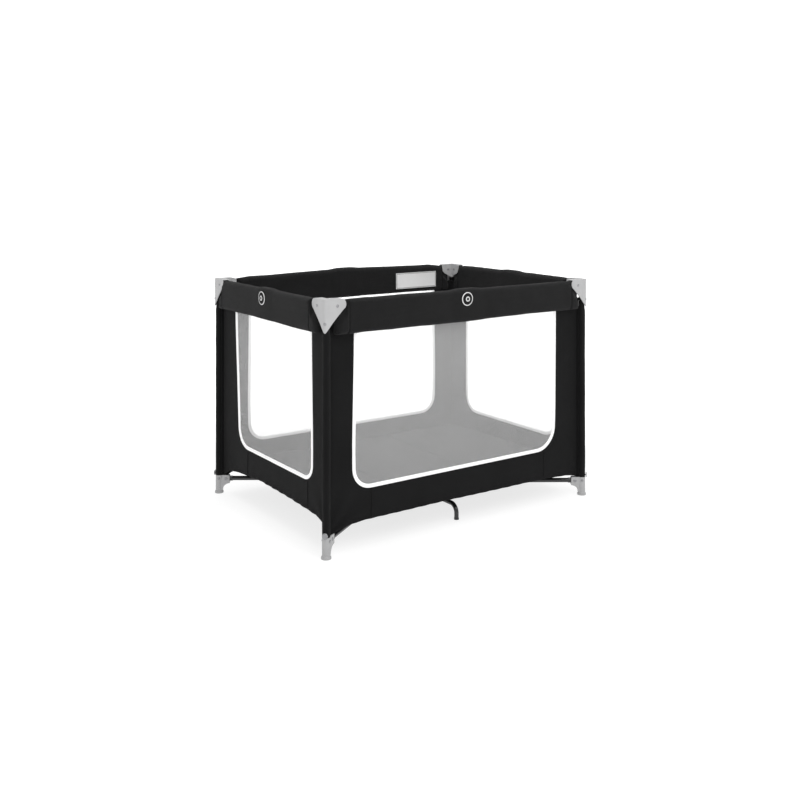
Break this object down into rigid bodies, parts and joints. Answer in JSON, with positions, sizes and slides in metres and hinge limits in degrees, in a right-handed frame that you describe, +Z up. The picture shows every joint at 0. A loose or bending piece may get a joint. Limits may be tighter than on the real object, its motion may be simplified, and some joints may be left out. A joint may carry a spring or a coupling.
{
  "type": "travel play yard",
  "caption": "Folding travel play yard with mesh-window fabric walls, padded top rails with press-to-release latches, corner posts, lift-to-fold floor hub and a folding mattress.",
  "frame": {"origin": "on the ground at the centre of the footprint", "axes": "+X along the long side, -Y towards the front, +Z up"},
  "size_m": [1.032, 0.752, 0.724],
  "materials": {
    "post_tube": "gloss black powder coat",
    "cap_outer": "satin light grey moulded plastic",
    "cap_inner": "satin light grey moulded plastic",
    "foot": "satin light grey moulded plastic",
    "rivets": "zinc-plated steel",
    "wall": "matte black woven polyester",
    "mesh": "open white knitted mesh",
    "rail_cover": "matte black woven polyester",
    "floor_sheet": "matte black woven polyester",
    "arm": "gloss black powder coat",
    "hub_body": "satin black moulded plastic",
    "hub_cover": "satin black moulded plastic",
    "hub_pins": "zinc-plated steel",
    "lift_strap": "matte black woven polyester",
    "leg": "gloss black powder coat",
    "rail": "gloss black powder coat",
    "latch": "satin black moulded plastic",
    "button": "satin black moulded plastic",
    "mattress": "matte black woven polyester"
  },
  "bodies": {
    "post_fl": {"post_tube_fl": "post_tube", "cap_outer_fl": "cap_outer", "cap_inner_fl": "cap_inner", "foot_fl": "foot", "rivets_fl": "rivets", "wall_front": "wall", "wall_left": "wall", "mesh_front_left": "mesh", "cover_front_left": "rail_cover", "floor_sheet": "floor_sheet"},
    "arm_fl": {"arm_fl": "arm"},
    "post_fr": {"post_tube_fr": "post_tube", "cap_outer_fr": "cap_outer", "cap_inner_fr": "cap_inner", "foot_fr": "foot", "rivets_fr": "rivets", "wall_right": "wall", "mesh_right": "mesh", "cover_right": "rail_cover"},
    "arm_fr": {"arm_fr": "arm"},
    "post_rl": {"post_tube_rl": "post_tube", "cap_outer_rl": "cap_outer", "cap_inner_rl": "cap_inner", "foot_rl": "foot", "rivets_rl": "rivets", "wall_rear": "wall", "mesh_rear": "mesh", "cover_rear": "rail_cover"},
    "arm_rl": {"arm_rl": "arm"},
    "post_rr": {"post_tube_rr": "post_tube", "cap_outer_rr": "cap_outer", "cap_inner_rr": "cap_inner", "foot_rr": "foot", "rivets_rr": "rivets"},
    "arm_rr": {"arm_rr": "arm"},
    "hub": {"hub_body": "hub_body", "hub_cover": "hub_cover", "hub_pins": "hub_pins", "lift_strap": "lift_strap"},
    "leg_front": {"leg_front": "leg"},
    "leg_rear": {"leg_rear": "leg"},
    "rail_front_l": {"rail_front_l": "rail"},
    "rail_front_r": {"rail_front_r": "rail"},
    "rail_rear_l": {"rail_rear_l": "rail"},
    "rail_rear_r": {"rail_rear_r": "rail"},
    "rail_left_f": {"rail_left_f": "rail"},
    "rail_left_r": {"rail_left_r": "rail"},
    "rail_right_f": {"rail_right_f": "rail"},
    "rail_right_r": {"rail_right_r": "rail"},
    "latch_front": {"latch_front": "latch"},
    "button_front": {"button_front": "button"},
    "latch_rear": {"latch_rear": "latch"},
    "button_rear": {"button_rear": "button"},
    "latch_left": {"latch_left": "latch"},
    "button_left": {"button_left": "button"},
    "latch_right": {"latch_right": "latch"},
    "button_right": {"button_right": "button"},
    "mattress_mid": {"mattress_mid": "mattress"},
    "mattress_left": {"mattress_left": "mattress"},
    "mattress_right": {"mattress_right": "mattress"}
  },
  "joints": [
    {"name": "fold", "type": "hinge", "parent": "post_fl", "child": "arm_fl", "pos_m": [-0.47616, -0.3425, 0.048], "axis": [0.5625, -0.8268, 0], "range_deg": [0, 88], "deforming": ["wall_front", "wall_left", "wall_rear", "wall_right", "mesh_front_left", "mesh_rear", "mesh_right", "cover_front_left", "cover_rear", "cover_right", "floor_sheet", "lift_strap"]},
    {"name": "hub_level", "type": "hinge", "parent": "arm_fl", "child": "hub", "pos_m": [-0.03816, -0.0445, 0.048], "axis": [-0.5625, 0.8268, 0], "range_deg": [0, 88]},
    {"name": "arm_fr_swing", "type": "hinge", "parent": "hub", "child": "arm_fr", "pos_m": [0.03816, -0.0445, 0.048], "axis": [0.5625, 0.8268, 0], "range_deg": [0, 88]},
    {"name": "post_fr_level", "type": "hinge", "parent": "arm_fr", "child": "post_fr", "pos_m": [0.47616, -0.3425, 0.048], "axis": [-0.5625, -0.8268, 0], "range_deg": [0, 88]},
    {"name": "arm_rl_swing", "type": "hinge", "parent": "hub", "child": "arm_rl", "pos_m": [-0.03816, 0.0445, 0.048], "axis": [-0.5625, -0.8268, 0], "range_deg": [0, 88]},
    {"name": "post_rl_level", "type": "hinge", "parent": "arm_rl", "child": "post_rl", "pos_m": [-0.47616, 0.3425, 0.048], "axis": [0.5625, 0.8268, 0], "range_deg": [0, 88]},
    {"name": "arm_rr_swing", "type": "hinge", "parent": "hub", "child": "arm_rr", "pos_m": [0.03816, 0.0445, 0.048], "axis": [-0.5625, 0.8268, 0], "range_deg": [0, 88]},
    {"name": "post_rr_level", "type": "hinge", "parent": "arm_rr", "child": "post_rr", "pos_m": [0.47616, 0.3425, 0.048], "axis": [0.5625, -0.8268, 0], "range_deg": [0, 88]},
    {"name": "rail_front_l_drop", "type": "hinge", "parent": "post_fl", "child": "rail_front_l", "pos_m": [-0.467, -0.356, 0.704], "axis": [0, 1, 0], "range_deg": [0, 88]},
    {"name": "latch_front_level", "type": "hinge", "parent": "rail_front_l", "child": "latch_front", "pos_m": [-0.029, -0.356, 0.704], "axis": [0, -1, 0], "range_deg": [0, 88]},
    {"name": "rail_front_r_rise", "type": "hinge", "parent": "latch_front", "child": "rail_front_r", "pos_m": [0.029, -0.356, 0.704], "axis": [0, -1, 0], "range_deg": [0, 88]},
    {"name": "rail_left_f_drop", "type": "hinge", "parent": "post_fl", "child": "rail_left_f", "pos_m": [-0.496, -0.327, 0.704], "axis": [-1, 0, 0], "range_deg": [0, 88]},
    {"name": "latch_left_level", "type": "hinge", "parent": "rail_left_f", "child": "latch_left", "pos_m": [-0.496, -0.029, 0.704], "axis": [1, 0, 0], "range_deg": [0, 88]},
    {"name": "rail_left_r_rise", "type": "hinge", "parent": "latch_left", "child": "rail_left_r", "pos_m": [-0.496, 0.029, 0.704], "axis": [1, 0, 0], "range_deg": [0, 88]},
    {"name": "rail_rear_l_drop", "type": "hinge", "parent": "post_rl", "child": "rail_rear_l", "pos_m": [-0.467, 0.356, 0.704], "axis": [0, 1, 0], "range_deg": [0, 88]},
    {"name": "latch_rear_level", "type": "hinge", "parent": "rail_rear_l", "child": "latch_rear", "pos_m": [-0.029, 0.356, 0.704], "axis": [0, -1, 0], "range_deg": [0, 88]},
    {"name": "rail_rear_r_rise", "type": "hinge", "parent": "latch_rear", "child": "rail_rear_r", "pos_m": [0.029, 0.356, 0.704], "axis": [0, -1, 0], "range_deg": [0, 88]},
    {"name": "rail_right_f_drop", "type": "hinge", "parent": "post_fr", "child": "rail_right_f", "pos_m": [0.496, -0.327, 0.704], "axis": [-1, 0, 0], "range_deg": [0, 88]},
    {"name": "latch_right_level", "type": "hinge", "parent": "rail_right_f", "child": "latch_right", "pos_m": [0.496, -0.029, 0.704], "axis": [1, 0, 0], "range_deg": [0, 88]},
    {"name": "rail_right_r_rise", "type": "hinge", "parent": "latch_right", "child": "rail_right_r", "pos_m": [0.496, 0.029, 0.704], "axis": [1, 0, 0], "range_deg": [0, 88]},
    {"name": "leg_front_drop", "type": "hinge", "parent": "hub", "child": "leg_front", "pos_m": [0, -0.05, 0.0445], "axis": [1, 0, 0], "range_deg": [0, 88]},
    {"name": "leg_rear_drop", "type": "hinge", "parent": "hub", "child": "leg_rear", "pos_m": [0, 0.05, 0.0445], "axis": [-1, 0, 0], "range_deg": [0, 88]},
    {"name": "mattress_out", "type": "hinge", "parent": "post_fl", "child": "mattress_mid", "pos_m": [-0.30633, 0.01533, 0.32167], "axis": [0.5774, -0.5774, 0.5774], "range_deg": [0, 240], "deforming": ["mattress_mid"]},
    {"name": "mattress_left_fold", "type": "hinge", "parent": "mattress_mid", "child": "mattress_left", "pos_m": [-0.1595, 0, 0.104], "axis": [0, 1, 0], "range_deg": [0, 90], "deforming": ["mattress_left"]},
    {"name": "mattress_right_fold", "type": "hinge", "parent": "mattress_mid", "child": "mattress_right", "pos_m": [0.1595, 0, 0.104], "axis": [0, -1, 0], "range_deg": [0, 90], "deforming": ["mattress_right"]},
    {"name": "button_front_press", "type": "slide", "parent": "latch_front", "child": "button_front", "axis": [0, 1, 0], "range_m": [0, 0.004], "stiffness_N_per_m": 400},
    {"name": "button_rear_press", "type": "slide", "parent": "latch_rear", "child": "button_rear", "axis": [0, -1, 0], "range_m": [0, 0.004], "stiffness_N_per_m": 400},
    {"name": "button_left_press", "type": "slide", "parent": "latch_left", "child": "button_left", "axis": [1, 0, 0], "range_m": [0, 0.004], "stiffness_N_per_m": 400},
    {"name": "button_right_press", "type": "slide", "parent": "latch_right", "child": "button_right", "axis": [-1, 0, 0], "range_m": [0, 0.004], "stiffness_N_per_m": 400}
  ],
  "couplings": [
    {"joint": "hub_level", "follows": "fold", "ratio": 1},
    {"joint": "arm_fr_swing", "follows": "fold", "ratio": 1},
    {"joint": "post_fr_level", "follows": "fold", "ratio": 1},
    {"joint": "arm_rl_swing", "follows": "fold", "ratio": 1},
    {"joint": "post_rl_level", "follows": "fold", "ratio": 1},
    {"joint": "arm_rr_swing", "follows": "fold", "ratio": 1},
    {"joint": "post_rr_level", "follows": "fold", "ratio": 1},
    {"joint": "rail_front_l_drop", "follows": "fold", "ratio": 1},
    {"joint": "latch_front_level", "follows": "fold", "ratio": 1},
    {"joint": "rail_front_r_rise", "follows": "fold", "ratio": 1},
    {"joint": "rail_left_f_drop", "follows": "fold", "ratio": 1},
    {"joint": "latch_left_level", "follows": "fold", "ratio": 1},
    {"joint": "rail_left_r_rise", "follows": "fold", "ratio": 1},
    {"joint": "rail_rear_l_drop", "follows": "fold", "ratio": 1},
    {"joint": "latch_rear_level", "follows": "fold", "ratio": 1},
    {"joint": "rail_rear_r_rise", "follows": "fold", "ratio": 1},
    {"joint": "rail_right_f_drop", "follows": "fold", "ratio": 1},
    {"joint": "latch_right_level", "follows": "fold", "ratio": 1},
    {"joint": "rail_right_r_rise", "follows": "fold", "ratio": 1},
    {"joint": "leg_front_drop", "follows": "fold", "ratio": 1},
    {"joint": "leg_rear_drop", "follows": "fold", "ratio": 1},
    {"joint": "mattress_out", "follows": "fold", "ratio": 2.7273},
    {"joint": "mattress_left_fold", "follows": "fold", "ratio": 1.0227},
    {"joint": "mattress_right_fold", "follows": "fold", "ratio": 1.0227}
  ]
}
